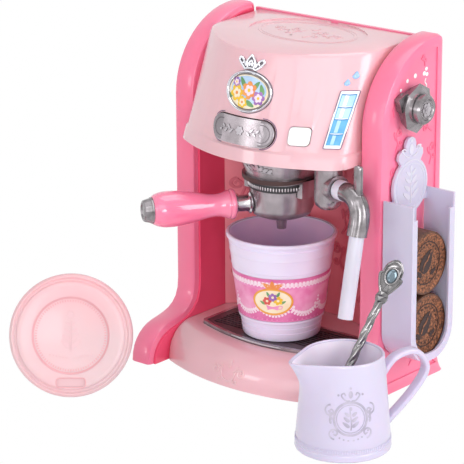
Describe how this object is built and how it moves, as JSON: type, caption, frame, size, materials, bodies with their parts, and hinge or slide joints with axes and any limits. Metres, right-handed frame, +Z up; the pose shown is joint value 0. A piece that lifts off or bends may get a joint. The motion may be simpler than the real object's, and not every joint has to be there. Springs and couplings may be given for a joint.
{
  "type": "toy espresso machine set",
  "caption": "Pink play espresso machine with portafilter, steam wand, dial and button, with cup, lid, milk pitcher, spoon and coffee pods in a side holder.",
  "frame": {"origin": "on the floor under the middle of the machine's base", "axes": "+X to the machine's right side with the dial and pod holder, -Y to the front, +Z up"},
  "size_m": [0.309, 0.2654, 0.279],
  "materials": {
    "hot_pink": "glossy moulded",
    "pale_pink": "glossy moulded",
    "silver_grey_plastic": "satin silver-grey, metallic look",
    "tray_grey": "satin dark grey",
    "lilac": "semi-gloss moulded",
    "chrome": "vacuum-metallised plastic",
    "pearl_white": "glossy print or clear-white plastic",
    "print_blue": "printed foil",
    "print_pink": "printed film",
    "pod_brown": "printed brown disc",
    "silver_spoon": "silver-painted plastic",
    "steel": "zinc-plated",
    "dark_plastic": "matte",
    "board_green": "solder mask",
    "cell_wrap": "plain wrapped cell"
  },
  "bodies": {
    "machine": {"left_frame_shell": "hot_pink", "left_frame_liner": "hot_pink", "right_frame_shell": "hot_pink", "right_frame_liner": "hot_pink", "rear_cover": "hot_pink", "battery_door": "hot_pink", "base_housing": "pale_pink", "base_plate": "pale_pink", "niche_wall": "pale_pink", "hood": "pale_pink", "hood_floor": "pale_pink", "battery_box": "pale_pink", "drip_tray": "silver_grey_plastic", "brew_head": "silver_grey_plastic", "steam_block": "silver_grey_plastic", "drip_grille": "tray_grey", "badge_ring": "chrome", "badge_crest": "chrome", "badge_face": "pearl_white", "light_window": "pearl_white", "gauge_label": "print_blue", "screw_lower_left": "steel", "screw_lower_right": "steel", "screw_upper_left": "steel", "screw_upper_right": "steel", "battery_door_screw": "steel", "button_switch": "dark_plastic", "speaker": "dark_plastic", "circuit_board": "board_green", "battery_upper": "cell_wrap", "battery_lower": "cell_wrap"},
    "brew_button": {"brew_button": "silver_grey_plastic", "switch_plunger": "dark_plastic"},
    "dial": {"dial_skirt": "silver_grey_plastic", "dial_cap": "silver_grey_plastic", "dial_shaft": "dark_plastic", "dial_retainer": "dark_plastic"},
    "portafilter": {"portafilter_basket": "silver_grey_plastic", "portafilter_neck": "silver_grey_plastic", "portafilter_handle": "hot_pink", "handle_end_cap": "silver_grey_plastic"},
    "steam_wand": {"wand_peg": "lilac", "wand_tap_front": "silver_grey_plastic", "wand_tap_rear": "silver_grey_plastic", "wand_pipe": "lilac"},
    "pod_holder": {"pod_holder": "lilac"},
    "lower_pod": {"coffee_pod_lower": "pod_brown"},
    "upper_pod": {"coffee_pod_upper": "pod_brown"},
    "cup": {"cup": "lilac", "cup_sleeve": "print_pink"},
    "lid": {"cup_lid": "pale_pink"},
    "pitcher": {"pitcher": "lilac"},
    "spoon": {"spoon": "silver_spoon"}
  },
  "joints": [
    {"name": "dial_turn", "type": "hinge", "parent": "machine", "child": "dial", "pos_m": [0.11, 0.0204, 0.23], "axis": [-1, 0, 0], "range_deg": [0, 100]},
    {"name": "brew_button_press", "type": "slide", "parent": "machine", "child": "brew_button", "axis": [0, 0.9763, -0.2165], "range_m": [0, 0.002], "stiffness_N_per_m": 400},
    {"name": "portafilter_turn", "type": "hinge", "parent": "machine", "child": "portafilter", "pos_m": [0, -0.0035, 0.15], "axis": [0, 0, 1], "range_deg": [0, 35]},
    {"name": "steam_wand_swivel", "type": "hinge", "parent": "machine", "child": "steam_wand", "pos_m": [0.066, -0.02, 0.167], "axis": [-0.9583, 0.2857, 0], "range_deg": [-10, 25]},
    {"name": "pod_holder_unhook", "type": "slide", "parent": "machine", "child": "pod_holder", "axis": [1, 0, 0], "range_m": [0, 0.03]},
    {"name": "upper_pod_lift", "type": "slide", "parent": "pod_holder", "child": "upper_pod", "axis": [0, 0, 1], "range_m": [0, 0.06]},
    {"name": "lower_pod_lift", "type": "slide", "parent": "pod_holder", "child": "lower_pod", "axis": [0, 0, 1], "range_m": [0, 0.06]},
    {"name": "cup_slide", "type": "slide", "parent": "machine", "child": "cup", "axis": [0, -1, 0], "range_m": [0, 0.12]},
    {"name": "lid_lift", "type": "slide", "parent": "machine", "child": "lid", "axis": [0, 0, 1], "range_m": [0, 0.06]},
    {"name": "pitcher_lift", "type": "slide", "parent": "machine", "child": "pitcher", "axis": [0, 0, 1], "range_m": [0, 0.06]},
    {"name": "spoon_pull", "type": "slide", "parent": "pitcher", "child": "spoon", "axis": [0.1242, 0.5213, 0.8443], "range_m": [0, 0.04]}
  ],
  "couplings": [
    {"joint": "lower_pod_lift", "follows": "upper_pod_lift", "ratio": 1}
  ]
}
